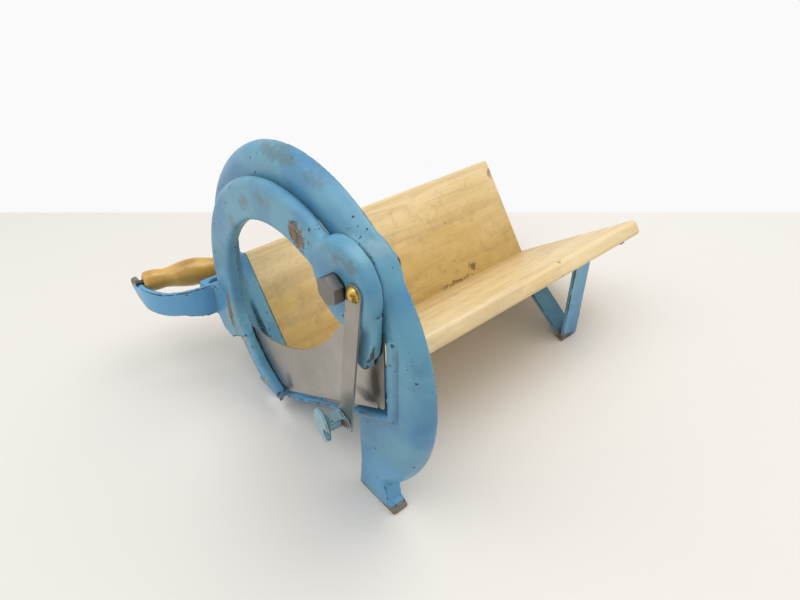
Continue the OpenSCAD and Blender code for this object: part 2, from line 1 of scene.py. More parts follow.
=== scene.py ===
import json
import logging
import math
from contextlib import contextmanager
from dataclasses import dataclass
from enum import Enum
from typing import Any, Iterator, NamedTuple, Optional, Sequence, Union

import bpy
from mathutils import Matrix, Vector

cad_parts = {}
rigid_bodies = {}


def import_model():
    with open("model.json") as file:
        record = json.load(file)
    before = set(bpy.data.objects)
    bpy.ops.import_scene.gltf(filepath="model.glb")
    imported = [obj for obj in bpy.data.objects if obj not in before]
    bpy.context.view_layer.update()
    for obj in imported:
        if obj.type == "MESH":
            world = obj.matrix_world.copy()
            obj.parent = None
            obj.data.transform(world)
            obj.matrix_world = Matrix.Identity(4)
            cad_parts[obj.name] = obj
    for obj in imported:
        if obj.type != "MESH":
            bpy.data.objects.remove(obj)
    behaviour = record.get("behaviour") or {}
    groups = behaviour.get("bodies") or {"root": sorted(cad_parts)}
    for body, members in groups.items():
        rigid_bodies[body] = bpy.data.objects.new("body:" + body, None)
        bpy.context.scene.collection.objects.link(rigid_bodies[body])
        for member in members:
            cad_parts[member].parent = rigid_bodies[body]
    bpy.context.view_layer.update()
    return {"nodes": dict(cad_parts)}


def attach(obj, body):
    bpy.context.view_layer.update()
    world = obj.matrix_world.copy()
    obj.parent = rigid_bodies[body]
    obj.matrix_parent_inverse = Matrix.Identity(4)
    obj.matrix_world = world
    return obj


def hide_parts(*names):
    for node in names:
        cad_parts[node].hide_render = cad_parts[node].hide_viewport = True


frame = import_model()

LOG = logging.getLogger("bread_slicer")
SMOOTH_PULL = 0.5       # how far one smoothing pass pulls a vertex to its neighbours' middle

Colour = tuple[float, float, float]
Point = tuple[float, float, float]
Pair = tuple[float, float]


def srgb(red: int, green: int, blue: int) -> Colour:
    """Turns a display colour into the linear colour that a shader takes.

    Args:
        red, green, blue: the colour's parts, from 0 to 255.

    Returns:
        The linear colour.
    """
    def lin(part: int) -> float:
        """One part, from 0 to 255, made linear by the sRGB standard's two formulas."""
        v = part / 255
        return v / 12.92 if v <= 0.04045 else ((v + 0.055) / 1.055) ** 2.4
    return lin(red), lin(green), lin(blue)


# ------------------------------------------------------------------ shader tools


class Layer(NamedTuple):
    """How a colour covers another one as a value goes from start to full."""

    start: float
    full: float
    strength: float = 1.0


class Val:
    """A value in a shader, which adds its Math nodes as Python's operators are used."""

    MIDDLE = 0.5        # the middle of a noise's values

    def __init__(self, shader: "Shader", socket: Any) -> None:
        """Keeps the shader that owns the value, and its output socket."""
        self.shader = shader
        self.socket = socket

    def _math(self, operation: str, *values: Any, clamp: bool = False) -> "Val":
        """Adds one Math node.

        Args:
            operation: the Math node's operation.
            values: its inputs, as numbers or values.
            clamp: whether the result is kept from 0 to 1.

        Returns:
            The node's result.
        """
        node = self.shader.node("ShaderNodeMath", {"operation": operation, "use_clamp": clamp},
                                dict(enumerate(values)))
        return Val(self.shader, node.outputs[0])

    def __add__(self, other: Any) -> "Val":
        """Sum."""
        return self._math("ADD", self, other)

    __radd__ = __add__

    def __sub__(self, other: Any) -> "Val":
        """Difference."""
        return self._math("SUBTRACT", self, other)

    def __rsub__(self, other: Any) -> "Val":
        """Difference the other way round."""
        return self._math("SUBTRACT", other, self)

    def __mul__(self, other: Any) -> "Val":
        """Product."""
        return self._math("MULTIPLY", self, other)

    def clamped(self) -> "Val":
        """The value kept from 0 to 1."""
        return self._math("ADD", self, 0.0, clamp=True)

    def most(self, other: Any) -> "Val":
        """The larger of this and another value."""
        return self._math("MAXIMUM", self, other)

    def swing(self, amount: float) -> "Val":
        """The noise's values about its middle, spread over the given amount."""
        return (self - self.MIDDLE) * amount

    def step(self, low: float, high: float) -> "Val":
        """A smooth step from 0 at low to 1 at high; low may be the larger."""
        node = self.shader.node("ShaderNodeMapRange", {"interpolation_type": "SMOOTHSTEP"},
                                {0: self, 1: low, 2: high})
        return Val(self.shader, node.outputs[0])

    def cover(self, layer: Layer) -> "Val":
        """How much of a layer there is at this value."""
        share = self.step(layer.start, layer.full)
        return share if layer.strength == 1 else share * layer.strength


Link = Union[Val, float, Sequence[float]]


class Shader:
    """One material and the few ways in which its nodes are made."""

    MIX_FACTOR, MIX_LOW, MIX_HIGH, MIX_RESULT = 0, 6, 7, 2      # a Mix node's colour sockets

    def __init__(self, name: str) -> None:
        """Makes an empty material with its surface shader."""
        self.material = bpy.data.materials.new(name)
        self.material.use_nodes = True
        self.tree = self.material.node_tree
        self.surface = self.tree.nodes["Principled BSDF"]
        self.place = self.node("ShaderNodeTexCoord", {}, {}).outputs["Object"]

    def node(self, kind: str, settings: dict[str, Any], inputs: dict[Any, Any]) -> Any:
        """Adds one node.

        Args:
            kind: the node's type.
            settings: its own settings, which are set first.
            inputs: numbers, colours, sockets or values, by socket name or number.

        Returns:
            The new node.
        """
        node = self.tree.nodes.new(kind)
        for key, value in settings.items():
            setattr(node, key, value)
        for key, value in inputs.items():
            self.feed(node.inputs[key], value)
        return node

    def feed(self, socket: Any, value: Any) -> None:
        """Sets an input socket, or links it to a value's socket."""
        if isinstance(value, Val):
            value = value.socket
        if isinstance(value, bpy.types.NodeSocket):
            self.tree.links.new(value, socket)
        elif isinstance(value, (tuple, list)) and len(value) == 3 and socket.type == "RGBA":
            socket.default_value = (*value, 1.0)
        else:
            socket.default_value = value

    def part(self, axis: int) -> Val:
        """One coordinate of the surface point: 0, 1 or 2."""
        return Val(self, self.node("ShaderNodeSeparateXYZ", {}, {0: self.place}).outputs[axis])

    def stretched(self, scale: Point, turn: Point = (0, 0, 0)) -> Any:
        """The surface point turned, then scaled along each axis.

        Args:
            scale: the factor along each axis.
            turn: the turn in radians about each axis, made before scaling.

        Returns:
            The vector's socket.
        """
        turned = self.node("ShaderNodeMapping", {}, {"Vector": self.place, "Rotation": turn})
        return self.node("ShaderNodeMapping", {}, {"Vector": turned.outputs[0],
                                                   "Scale": scale}).outputs[0]

    def noise(self, scale: float, detail: float, rough: float, place: Any = None,
              shift: float = 0.0) -> Val:
        """Smooth random values from 0 to 1.

        Args:
            scale: how many blobs there are in a metre.
            detail: how many finer layers are added.
            rough: how strong the finer layers are.
            place: the vector that it reads, or None for the surface point.
            shift: how far its lines are distorted.

        Returns:
            The noise's value.
        """
        node = self.node("ShaderNodeTexNoise", {}, {
            "Vector": place or self.place, "Scale": scale, "Detail": detail,
            "Roughness": rough, "Distortion": shift})
        return Val(self, node.outputs[0])

    def spots(self, scale: float) -> Val:
        """The distance from the nearest of many scattered points, in cells of 1 / scale metre."""
        node = self.node("ShaderNodeTexVoronoi", {}, {"Vector": self.place, "Scale": scale})
        return Val(self, node.outputs[0])

    def blend(self, fac: Link, low: Any, high: Any) -> Any:
        """A colour between two others.

        Args:
            fac: 0 for the first colour and 1 for the second.
            low: the first colour.
            high: the second colour.

        Returns:
            The colour's socket.
        """
        node = self.node("ShaderNodeMix", {"data_type": "RGBA"}, {
            self.MIX_FACTOR: fac, self.MIX_LOW: low, self.MIX_HIGH: high})
        return node.outputs[self.MIX_RESULT]

    def near(self, mark: "Mark") -> Val:
        """The distance from a mark's centre, 1 at its radius along each axis."""
        offset = self.node("ShaderNodeVectorMath", {"operation": "SUBTRACT"},
                           {0: self.place, 1: mark.centre})
        scaled = self.node("ShaderNodeVectorMath", {"operation": "DIVIDE"},
                           {0: offset.outputs[0], 1: mark.radii})
        length = self.node("ShaderNodeVectorMath", {"operation": "LENGTH"},
                           {0: scaled.outputs[0]})
        return Val(self, length.outputs["Value"])

    def edges(self) -> Val:
        """How convex the surface is: 0.5 where it is flat, more on an edge, less in a corner."""
        return Val(self, self.node("ShaderNodeNewGeometry", {}, {}).outputs["Pointiness"])

    def finish(self, height: Optional[Val] = None, depth: float = 0.0,
               **surface: Any) -> bpy.types.Material:
        """Feeds the surface shader.

        Args:
            height: the bump's height from 0 to 1, if there is one.
            depth: the bump's depth in metres.
            surface: values for the shader's sockets, with _ for a space.

        Returns:
            The finished material.
        """
        for key, value in surface.items():
            self.feed(self.surface.inputs[key.replace("_", " ")], value)
        if height is not None:
            bump = self.node("ShaderNodeBump", {}, {"Height": height, "Distance": depth,
                                                    "Strength": 1.0})
            self.feed(self.surface.inputs["Normal"], bump.outputs[0])
        return self.material


# ------------------------------------------------------------------ finishes
#
# In each finish, a noise is given as its blobs in a metre, its finer layers and how strong
# those are. Other pairs of numbers are a value at which something starts, and the one at which
# it is full. A swing is how far a noise moves that value. DEPTH is the relief's, in metres.


@dataclass(frozen=True)
class Mark:
    """A place that looks different: worn through, grubby, stained, or painted light, shade or
    reflection.
    """

    centre: Point
    radii: Point
    strength: float = 1.0


@dataclass(frozen=True)
class PaintedIron:
    """Old light blue enamel on cast iron, chipped and rusty on its edges.

    The iron shows through in the patches, and more of the ridges are bare with more wear.
    grubby are the places where the enamel is greyer; the brighter places are painted light.
    """

    name: str
    patches: tuple[Mark, ...] = ()
    grubby: tuple[Mark, ...] = ()
    # Places where the enamel is painted brighter, as painted light.
    lit_places: tuple[Mark, ...] = ()
    wear: float = 1.0
    blue: Colour = srgb(74, 136, 175)
    blue_dark: Colour = srgb(58, 119, 160)
    blue_pale: Colour = srgb(98, 156, 180)
    # Painted light: the brighter blue for those places.
    blue_lit: Colour = srgb(98, 168, 212)
    # Painted shade with grime, for the hollows and corners.
    shade_and_grime: Colour = srgb(40, 54, 60)
    smear: Colour = srgb(92, 116, 118)
    rust: Colour = srgb(132, 104, 66)
    iron: Colour = srgb(70, 60, 54)

    # Noises.
    TONE = (16, 3, 0.55)
    CLOUD = (24, 3, 0.5)
    BROAD = (38, 3, 0.6)
    SMEARS = (44, 5, 0.75)
    CAST = (95, 3, 0.5)
    MOTTLE = (120, 4, 0.7)
    RUSTY = (150, 4, 0.7)
    PATCH_RIM = (170, 5, 0.8)
    RAGGED = (260, 4, 0.65)
    LEFT_PAINT = (420, 3, 0.6)

    # The enamel's colour.
    PALE_TONE = Layer(0.42, 0.6)
    DARK_CLOUD = Layer(0.48, 0.72, 0.55)
    PALE_MOTTLE = Layer(0.5, 0.72, 0.35)
    SMEARED = Layer(0.54, 0.72, 0.35)
    HOLLOW = Layer(0.49, 0.462, 0.85)
    RUST = Layer(0.6, 0.72)
    RUST_NEAR_PATCH = Layer(2.0, 1.2, 0.2)
    # Painted light: where the brighter places start and how far they spread.
    LIT_RIM = (1.3, 0.6)
    LIT_SWING = 0.8
    GRUBBY_RIM = (1.1, 0.2)
    GRUBBY_SWING = 3.6
    HOLLOW_SWING = 0.02

    # Where the iron shows.
    RIDGE = (0.542, 0.556)
    RIDGE_PER_WEAR = 0.012
    RIDGE_RAGGED = 0.045
    RIDGE_BROAD = 0.06
    CHIP_CELLS = 150
    CHIP = (0.16, 0.08)
    CHIP_SWING = 0.6
    CHIP_AREA = (0.5, 0.56)
    PIT_CELLS = 310
    PIT = (0.12, 0.06)
    PIT_SWING = 0.9
    PIT_AREA = (0.47, 0.56)
    PIT_STRENGTH = 0.8
    PATCH_EDGE = (1.0, 0.85)
    PATCH_SWING = 2.6
    LEFT = Layer(0.62, 0.66, 0.8)

    # Relief and gloss.
    METAL_STRENGTH = 0.92
    CAST_BUMP = 0.5
    RAGGED_BUMP = 0.25
    FILM_BUMP = 0.5
    DEPTH = 0.00042
    ROUGH = 0.36
    ROUGH_WORN = 0.34
    ROUGH_TONE = 0.1
    COAT = 0.22
    COAT_ROUGH = 0.2

    def build(self) -> bpy.types.Material:
        """Makes the enamel, its tone, its chips, its rust and its cast texture."""
        s = Shader(self.name)
        tone = s.noise(*self.TONE)
        ragged = s.noise(*self.RAGGED)
        broad = s.noise(*self.BROAD)
        mottle = s.noise(*self.MOTTLE)
        worn = self._wear(s, ragged, broad)
        rusty = s.noise(*self.RUSTY)
        for patch in self.patches:
            rusty = rusty.most(rusty + s.near(patch).cover(self.RUST_NEAR_PATCH))
        metal = s.blend(rusty.cover(self.RUST), self.iron, self.rust)
        height = s.noise(*self.CAST) * self.CAST_BUMP + ragged * self.RAGGED_BUMP \
            + (1 - worn) * self.FILM_BUMP
        return s.finish(height=height, depth=self.DEPTH,
                        Base_Color=s.blend(worn * self.METAL_STRENGTH,
                                           self._paint(s, tone, mottle), metal),
                        Roughness=self.ROUGH + worn * self.ROUGH_WORN + tone * self.ROUGH_TONE,
                        Coat_Weight=(self.COAT - worn * self.COAT).clamped(),
                        Coat_Roughness=self.COAT_ROUGH)

    def _paint(self, s: Shader, tone: Val, mottle: Val) -> Any:
        """The enamel: painted light, grey-green smears, and painted shade with grime in its
        hollows.
        """
        paint = s.blend(tone.cover(self.PALE_TONE), self.blue, self.blue_pale)
        paint = s.blend(s.noise(*self.CLOUD).cover(self.DARK_CLOUD), paint, self.blue_dark)
        paint = s.blend(mottle.cover(self.PALE_MOTTLE), paint, self.blue_pale)
        # Painted light: the enamel is painted brighter at these places, to stand in for light
        # falling on them.
        for place in self.lit_places:
            spread = s.near(place) + tone.swing(self.LIT_SWING)
            paint = s.blend(spread.step(*self.LIT_RIM) * place.strength, paint,
                            self.blue_lit)
        smears = s.noise(*self.SMEARS).cover(self.SMEARED)
        for place in self.grubby:
            spread = s.near(place) + mottle.swing(self.GRUBBY_SWING)
            smears = smears.most(spread.step(*self.GRUBBY_RIM) * place.strength)
        paint = s.blend(smears, paint, self.smear)
        # Painted shade with grime: the enamel is darker in hollows and corners, where shade
        # falls.
        hollow = s.edges() + mottle.swing(self.HOLLOW_SWING)
        return s.blend(hollow.cover(self.HOLLOW), paint, self.shade_and_grime)

    def _wear(self, s: Shader, ragged: Val, broad: Val) -> Val:
        """Where the iron shows: on ridges, in small chips and pits, and in the given patches."""
        start, full = (limit - self.RIDGE_PER_WEAR * self.wear for limit in self.RIDGE)
        ridge = (s.edges() + ragged.swing(self.RIDGE_RAGGED)
                 + broad.swing(self.RIDGE_BROAD)).step(start, full)
        chips = (s.spots(self.CHIP_CELLS) + ragged.swing(self.CHIP_SWING)).step(*self.CHIP) \
            * broad.step(*self.CHIP_AREA)
        pits = (s.spots(self.PIT_CELLS) + ragged.swing(self.PIT_SWING)).step(*self.PIT) \
            * broad.step(*self.PIT_AREA)
        worn = ridge.most(chips).most(pits * self.PIT_STRENGTH)
        for patch in self.patches:
            spread = s.near(patch) + s.noise(*self.PATCH_RIM).swing(self.PATCH_SWING)
            left = s.noise(*self.LEFT_PAINT).cover(self.LEFT)
            worn = worn.most(spread.step(*self.PATCH_EDGE) * (1 - left) * patch.strength)
        return worn.clamped()


@dataclass(frozen=True)
class Beech:
    """Pale beech: long fine grain, soft clouds, old amber varnish and dark specks.

    tilt is the board's turn about Y in radians, and fade the heights in metres between which
    the wood goes from darker amber lower down to paler higher up.
    """

    name: str
    tilt: float
    fade: Pair
    stains: tuple[Mark, ...] = ()
    pale: Colour = srgb(244, 218, 168)
    honey: Colour = srgb(225, 190, 124)
    amber: Colour = srgb(208, 173, 98)
    brown: Colour = srgb(124, 92, 52)
    dark: Colour = srgb(70, 50, 28)

    # Noises. The first three read stretched points: across, along and through the board.
    GRAIN_STRETCH = (70, 4.5, 40)
    GRAIN = (1.0, 4, 0.6)
    GRAIN_SHIFT = 0.9
    FINE_STRETCH = (620, 18, 300)
    FINE = (1.0, 3, 0.6)
    WIDE_STRETCH = (16, 7, 10)
    WIDE = (1.0, 4, 0.55)
    WIDE_SHIFT = 0.8
    MOTTLE = (90, 5, 0.75)
    SPECK_PLACES = (20, 2, 0.5)
    STAIN_RIM = (230, 5, 0.8)

    # The wood's colour.
    FADE_SWING = 0.12
    HONEY = Layer(0.35, 0.65, 0.5)
    BROWN_GRAIN = Layer(0.46, 0.64, 0.2)
    BROWN_FINE = Layer(0.5, 0.7, 0.11)
    BROWN_MOTTLE = Layer(0.5, 0.74, 0.2)

    # Dirt.
    SPECK_CELLS = 75
    SPECK_SWING = 0.5
    SPECK = (0.14, 0.05)
    SPECK_AREA = (0.5, 0.6)
    SPECK_STRENGTH = 0.5
    KNOCK_SWING = 0.06
    KNOCK = Layer(0.56, 0.62, 0.3)
    STAIN_SWING = 5.0
    STAIN_EDGE = (0.9, 0.3)

    # Relief and gloss.
    GRAIN_BUMP = 0.35
    DIRT_BUMP = 0.4
    DEPTH = 0.00014
    ROUGH = 0.42
    ROUGH_WIDE = 0.16
    COAT = 0.12
    COAT_ROUGH = 0.3

    def build(self) -> bpy.types.Material:
        """Makes the wood for a board whose face slopes by tilt about Y."""
        s = Shader(self.name)
        turn = (0.0, self.tilt, 0.0)
        grain = s.noise(*self.GRAIN, s.stretched(self.GRAIN_STRETCH, turn), self.GRAIN_SHIFT)
        fine = s.noise(*self.FINE, s.stretched(self.FINE_STRETCH, turn))
        wide = s.noise(*self.WIDE, s.stretched(self.WIDE_STRETCH, turn), self.WIDE_SHIFT)
        mottle = s.noise(*self.MOTTLE)
        # Darker amber lower down on the board, paler higher up.
        wood = s.blend((s.part(2) + wide.swing(self.FADE_SWING)).step(*self.fade),
                       self.amber, self.pale)
        wood = s.blend(wide.cover(self.HONEY), wood, self.honey)
        wood = s.blend(grain.cover(self.BROWN_GRAIN), wood, self.brown)
        wood = s.blend(fine.cover(self.BROWN_FINE), wood, self.brown)
        wood = s.blend(mottle.cover(self.BROWN_MOTTLE), wood, self.brown)
        dirt = self._dirt(s, mottle)
        height = grain * self.GRAIN_BUMP + fine * self.GRAIN_BUMP + (1 - dirt) * self.DIRT_BUMP
        return s.finish(height=height, depth=self.DEPTH,
                        Base_Color=s.blend(dirt, wood, self.dark),
                        Roughness=self.ROUGH + wide * self.ROUGH_WIDE, Coat_Weight=self.COAT,
                        Coat_Roughness=self.COAT_ROUGH)

    def _dirt(self, s: Shader, mottle: Val) -> Val:
        """Dark specks, knocks on the edges and the given stains."""
        specks = (s.spots(self.SPECK_CELLS) + mottle.swing(self.SPECK_SWING)).step(*self.SPECK)
        dirt = specks * s.noise(*self.SPECK_PLACES).step(*self.SPECK_AREA) * self.SPECK_STRENGTH
        dirt = dirt.most((s.edges() + mottle.swing(self.KNOCK_SWING)).cover(self.KNOCK))
        for stain in self.stains:
            spread = s.near(stain) + s.noise(*self.STAIN_RIM).swing(self.STAIN_SWING)
            dirt = dirt.most(spread.step(*self.STAIN_EDGE) * stain.strength)
        return dirt.clamped()


@dataclass(frozen=True)
class AmberVarnish:
    """Turned wood under a thick amber varnish, dark in its necks."""

    name: str
    light: Colour = srgb(228, 180, 88)
    deep: Colour = srgb(194, 145, 60)
    dark: Colour = srgb(112, 78, 36)

    # Noises. The grain reads stretched points and runs along Y.
    GRAIN_STRETCH = (150, 12, 150)
    GRAIN = (1.0, 4, 0.6)
    GRAIN_SHIFT = 0.5
    WIDE = (34, 3, 0.5)
    MARKS = (120, 4, 0.7)

    LIGHT = Layer(0.36, 0.64)
    DARK_GRAIN = Layer(0.48, 0.66, 0.3)
    MARKED = (0.64, 0.74)
    MARK_STRENGTH = 0.45
    NECK = Layer(0.49, 0.45, 0.5)

    # Relief and gloss.
    GRAIN_BUMP = 0.6
    MARK_BUMP = 0.4
    DEPTH = 0.00015
    ROUGH = 0.3
    ROUGH_MARKED = 0.3
    COAT = 0.45
    COAT_ROUGH = 0.16

    def build(self) -> bpy.types.Material:
        """Makes the varnished wood."""
        s = Shader(self.name)
        grain = s.noise(*self.GRAIN, s.stretched(self.GRAIN_STRETCH), self.GRAIN_SHIFT)
        marks = s.noise(*self.MARKS).step(*self.MARKED)
        wood = s.blend(s.noise(*self.WIDE).cover(self.LIGHT), self.deep, self.light)
        wood = s.blend(grain.cover(self.DARK_GRAIN), wood, self.dark)
        wood = s.blend(marks * self.MARK_STRENGTH, wood, self.dark)
        wood = s.blend(s.edges().cover(self.NECK), wood, self.dark)
        height = grain * self.GRAIN_BUMP + (1 - marks) * self.MARK_BUMP
        return s.finish(height=height, depth=self.DEPTH, Base_Color=wood,
                        Roughness=self.ROUGH + marks * self.ROUGH_MARKED,
                        Coat_Weight=self.COAT, Coat_Roughness=self.COAT_ROUGH)


class Scratches(Enum):
    """The turn in radians that lays X along the fine scratches on a piece of steel."""

    ALONG_EDGE = (0.0, 0.5445, 0.0)
    UPRIGHT = (0.0, 1.5708, 0.0)
    ANY = (0.0, 0.0, 0.0)


@dataclass(frozen=True)
class Steel:
    """Plain steel with fine scratches, dull patches, brown spots, painted reflections and shadow.

    bright and dull are its two tones, and spotting is how strong the brown spots are.
    """

    name: str
    bright: Colour
    dull: Colour
    scratches: Scratches = Scratches.ANY
    roughness: float = 0.34
    metal: float = 1.0
    spotting: float = 0.5
    # Painted reflection and painted shadow: darker places on the steel.
    dark_reflections_and_shade: tuple[Mark, ...] = ()
    spot: Colour = srgb(86, 68, 52)
    reflection_shade: Colour = srgb(84, 82, 82)

    # Noises. The scratches read stretched points.
    SCRATCH_STRETCH = (26, 900, 900)
    SCRATCH = (1.0, 2, 0.6)
    CLOUD = (15, 3, 0.5)
    REFLECTION_RIM = (60, 3, 0.6)
    SPOTS = (150, 5, 0.7)
    SPOT_PLACES = (19, 2, 0.5)

    DULL_CLOUD = Layer(0.3, 0.72)
    DULL_SCRATCH = Layer(0.45, 0.7, 0.2)
    REFLECTION_SWING = 1.2
    REFLECTION_EDGE = (1.2, 0.4)
    SPOT_SWING = 0.5
    SPOT = (0.64, 0.76)

    # Relief and gloss.
    SCRATCH_BUMP = 0.5
    SPOT_BUMP = 0.6
    DEPTH = 0.00006
    SPOT_METAL = 0.6
    ROUGH_CLOUD = 0.05
    ROUGH_SPOT = 0.3

    def build(self) -> bpy.types.Material:
        """Makes the steel."""
        s = Shader(self.name)
        fine = s.noise(*self.SCRATCH, s.stretched(self.SCRATCH_STRETCH, self.scratches.value))
        cloud = s.noise(*self.CLOUD)
        colour = s.blend(cloud.cover(self.DULL_CLOUD), self.bright, self.dull)
        colour = s.blend(fine.cover(self.DULL_SCRATCH), colour, self.dull)
        # Painted reflection and painted shadow: the steel is painted darker at these places.
        for mark in self.dark_reflections_and_shade:
            spread = s.near(mark) + s.noise(*self.REFLECTION_RIM).swing(self.REFLECTION_SWING)
            colour = s.blend(spread.step(*self.REFLECTION_EDGE) * mark.strength, colour,
                             self.reflection_shade)
        spots = s.noise(*self.SPOTS) + s.noise(*self.SPOT_PLACES).swing(self.SPOT_SWING)
        spots = spots.step(*self.SPOT) * self.spotting
        return s.finish(height=fine * self.SCRATCH_BUMP + spots * self.SPOT_BUMP,
                        depth=self.DEPTH, Base_Color=s.blend(spots, colour, self.spot),
                        Metallic=(self.metal - spots * self.SPOT_METAL).clamped(),
                        Roughness=(self.roughness + cloud * self.ROUGH_CLOUD
                                   + spots * self.ROUGH_SPOT))


@dataclass(frozen=True)
class Brass:
    """Bright yellow brass with browner clouds."""

    name: str
    bright: Colour = srgb(222, 186, 96)
    dull: Colour = srgb(134, 104, 48)

    CLOUD = (320, 4, 0.6)
    DULL = Layer(0.44, 0.66)
    DEPTH = 0.00005
    ROUGH = 0.24
    ROUGH_CLOUD = 0.16

    def build(self) -> bpy.types.Material:
        """Makes the brass."""
        s = Shader(self.name)
        cloud = s.noise(*self.CLOUD)
        return s.finish(height=cloud, depth=self.DEPTH,
                        Base_Color=s.blend(cloud.cover(self.DULL), self.bright, self.dull),
                        Metallic=1.0, Roughness=self.ROUGH + cloud * self.ROUGH_CLOUD)


# ------------------------------------------------------------------ modelling tools


class Pick(Enum):
    """What kind of element is picked while a mesh is edited."""

    VERT = "VERT"
    EDGE = "EDGE"


def pick_none() -> None:
    """Leaves object mode's selection empty."""
    if bpy.context.object is not None and bpy.context.object.mode != "OBJECT":
        bpy.ops.object.mode_set(mode="OBJECT")
    bpy.ops.object.select_all(action="DESELECT")


def make_active(obj: bpy.types.Object) -> None:
    """Selects one object alone, and makes it the active one."""
    pick_none()
    obj.select_set(True)
    bpy.context.view_layer.objects.active = obj


@contextmanager
def editing(obj: bpy.types.Object, pick: Pick = Pick.VERT) -> Iterator[None]:
    """Opens an object's mesh for editing, and goes back to object mode at the end.

    Args:
        obj: the object.
        pick: the kind of element that the edit picks.
    """
    make_active(obj)
    bpy.ops.object.mode_set(mode="EDIT")
    bpy.ops.mesh.select_mode(type=pick.value)
    yield
    bpy.ops.object.mode_set(mode="OBJECT")


def clear_picks(obj: bpy.types.Object, pick: Pick) -> None:
    """Leaves nothing picked in a mesh, so that single elements can be picked by code."""
    with editing(obj, pick):
        bpy.ops.mesh.select_all(action="DESELECT")


def face_outwards() -> None:
    """Turns all faces of the mesh that is being edited outwards."""
    bpy.ops.mesh.select_all(action="SELECT")
    bpy.ops.mesh.normals_make_consistent(inside=False)


def settle(obj: bpy.types.Object, name: str, angle: float) -> bpy.types.Object:
    """Puts an object's place into its mesh, smooths its shading and names it.

    Args:
        obj: the finished piece.
        name: its name.
        angle: the angle in degrees over which an edge stays sharp.

    Returns:
        The same object.
    """
    make_active(obj)
    bpy.ops.object.transform_apply(location=True, rotation=True, scale=True)
    bpy.ops.object.shade_smooth_by_angle(angle=math.radians(angle))
    obj.name = name
    obj.data.name = name
    return obj


def apply_modifier(obj: bpy.types.Object, kind: str, **settings: Any) -> None:
    """Adds one modifier with its settings and applies it."""
    make_active(obj)
    modifier = obj.modifiers.new(kind.lower(), kind)
    for key, value in settings.items():
        setattr(modifier, key, value)
    bpy.ops.object.modifier_apply(modifier=modifier.name)


def drop_crumbs(obj: bpy.types.Object) -> None:
    """Deletes whatever isn't joined to the object's lowest vertex."""
    clear_picks(obj, Pick.VERT)
    min(obj.data.vertices, key=lambda vertex: vertex.co.z).select = True
    with editing(obj):
        bpy.ops.mesh.select_linked()
        bpy.ops.mesh.select_all(action="INVERT")
        bpy.ops.mesh.delete(type="VERT")


def dress(obj: bpy.types.Object, material: bpy.types.Material) -> None:
    """Gives the whole of an object one material."""
    obj.data.materials.clear()
    obj.data.materials.append(material)
    for face in obj.data.polygons:
        face.material_index = 0


# ------------------------------------------------------------------ the pieces


@dataclass(frozen=True)
class SoftZone:
    """A ball in which a casting is smoothed further, so that two shapes flow together."""

    centre: Point
    radius: float
    passes: int

    def soften(self, piece: bpy.types.Object) -> None:
        """Smooths the piece in the ball, most at its centre."""
        group = piece.vertex_groups.new(name="soft_zone")
        middle = Vector(self.centre)
        for vertex in piece.data.vertices:
            away = (vertex.co - middle).length / self.radius
            if away < 1:
                group.add([vertex.index], 1 - away ** 2, "REPLACE")
        apply_modifier(piece, "SMOOTH", factor=SMOOTH_PULL, iterations=self.passes,
                       vertex_group=group.name)
        piece.vertex_groups.clear()


@dataclass
class SoftCasting:
    """A casting whose edges are rounded as sand casting and thick enamel leave them.

    grain is the side in metres of the cells that its mesh is made of, and passes is how often
    all of it is smoothed.
    """

    node: str
    body: str
    finish: PaintedIron
    grain: float
    passes: int
    zones: tuple[SoftZone, ...] = ()
    slot: str = "painted_iron"

    WELD = 0.00001
    SHARP_OVER = 80

    def build(self) -> None:
        """Copies the solid, evens its mesh, rounds its edges and puts it in the solid's place."""
        pick_none()
        source = frame["nodes"][self.node]
        piece = bpy.data.objects.new(self.node + "_cast", source.data.copy())
        bpy.context.scene.collection.objects.link(piece)
        with editing(piece):
            bpy.ops.mesh.select_all(action="SELECT")
            bpy.ops.mesh.remove_doubles(threshold=self.WELD)
        apply_modifier(piece, "REMESH", mode="VOXEL", voxel_size=self.grain, adaptivity=0)
        drop_crumbs(piece)
        for zone in self.zones:
            zone.soften(piece)
        apply_modifier(piece, "SMOOTH", factor=SMOOTH_PULL, iterations=self.passes)
        settle(piece, self.node + "_cast", self.SHARP_OVER)
        dress(piece, self.finish.build())
        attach(piece, self.body)
        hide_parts(self.node)
        LOG.info("%s: %d faces", piece.name, len(piece.data.polygons))


